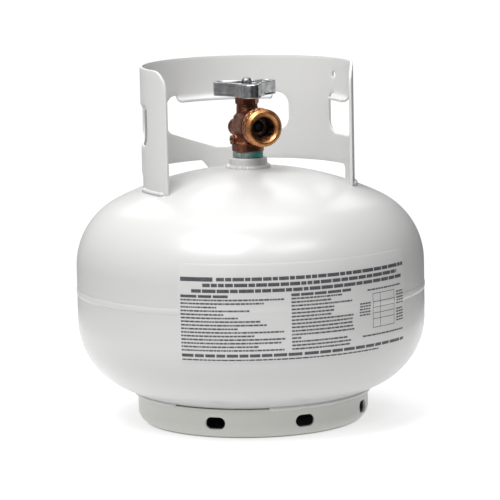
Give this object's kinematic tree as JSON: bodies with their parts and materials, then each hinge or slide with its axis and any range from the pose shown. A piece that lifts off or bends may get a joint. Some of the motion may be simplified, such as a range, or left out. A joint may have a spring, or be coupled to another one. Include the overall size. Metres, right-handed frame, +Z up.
{
  "type": "propane tank",
  "caption": "Squat refillable gas cylinder: domed pressure shell on a slotted foot ring, with a collar of hand holds around a handwheel valve with a threaded outlet.",
  "frame": {"origin": "on the ground at the cylinder's axis, centre of the bottom of its box", "axes": "+Z up along the cylinder's axis; the collar is symmetric about the YZ plane and opens towards -Y"},
  "size_m": [0.3111, 0.3114, 0.318],
  "materials": {
    "white_paint": "glossy baked powder coat",
    "collar_paint": "satin powder coat",
    "foot_paint": "satin powder coat",
    "label": "printed vinyl",
    "sealant": "dried thread sealant",
    "brass": "forged and machined",
    "machined_brass": "bright turned",
    "wheel": "bright die cast",
    "zinc_steel": "zinc plated",
    "spring_steel": "stainless wire",
    "rubber": "moulded",
    "washer": "nylon",
    "opd_plastic": "moulded acetal",
    "float_plastic": "closed cell foam"
  },
  "bodies": {
    "cylinder": {"upper_head": "white_paint", "lower_head": "white_paint", "girth_weld": "white_paint", "valve_boss": "white_paint", "boss_weld": "white_paint", "collar": "collar_paint", "collar_welds": "collar_paint", "foot_ring": "foot_paint", "foot_ring_welds": "foot_paint", "label": "label", "thread_sealant": "sealant", "valve_body": "brass", "bonnet": "brass", "bonnet_washer": "washer", "outlet_seal": "rubber", "check_retainer": "machined_brass", "check_spring": "spring_steel", "relief_retainer": "machined_brass", "relief_spring": "spring_steel", "dip_tube": "machined_brass", "opd_housing": "opd_plastic", "float_pin": "zinc_steel"},
    "handwheel": {"stem": "machined_brass", "stem_rings": "rubber", "handwheel": "wheel", "handwheel_nut": "zinc_steel"},
    "main_seat": {"seat_holder": "machined_brass", "seat_disc": "rubber"},
    "outlet_check": {"check_poppet": "machined_brass"},
    "relief": {"relief_poppet": "machined_brass", "relief_seal": "rubber"},
    "bleeder": {"bleeder_screw": "machined_brass"},
    "float": {"float_arm": "opd_plastic", "float": "float_plastic"},
    "overfill_stop": {"opd_piston": "machined_brass"}
  },
  "joints": [
    {"name": "handwheel_turn", "type": "hinge", "parent": "cylinder", "child": "handwheel", "pos_m": [0, 0, 0.296], "axis": [0, 0, 1], "range_deg": [0, 540]},
    {"name": "seat_lift", "type": "slide", "parent": "handwheel", "child": "main_seat", "axis": [0, 0, 1], "range_m": [0, 0.0031]},
    {"name": "check_slide", "type": "slide", "parent": "cylinder", "child": "outlet_check", "axis": [-0.1149, 0.9934, 0], "range_m": [0, 0.0035], "stiffness_N_per_m": 600, "springref_m": -0.003, "deforming": ["check_spring"]},
    {"name": "relief_slide", "type": "slide", "parent": "cylinder", "child": "relief", "axis": [-0.1149, 0.9934, 0], "range_m": [0, 0.002], "stiffness_N_per_m": 3000, "springref_m": -0.004, "deforming": ["relief_spring"]},
    {"name": "bleeder_turn", "type": "hinge", "parent": "cylinder", "child": "bleeder", "pos_m": [-0.01391, -0.00161, 0.251], "axis": [-0.9934, -0.1149, 0], "range_deg": [0, 360]},
    {"name": "float_swing", "type": "hinge", "parent": "cylinder", "child": "float", "pos_m": [0, 0, 0.177], "axis": [0.9934, 0.1149, 0], "range_deg": [0, 55]},
    {"name": "overfill_slide", "type": "slide", "parent": "cylinder", "child": "overfill_stop", "axis": [0, 0, 1], "range_m": [0, 0.0031]}
  ],
  "couplings": [
    {"joint": "seat_lift", "follows": "handwheel_turn", "m_per_rad": 0.00031831},
    {"joint": "overfill_slide", "follows": "float_swing", "m_per_rad": 0.0031252}
  ]
}
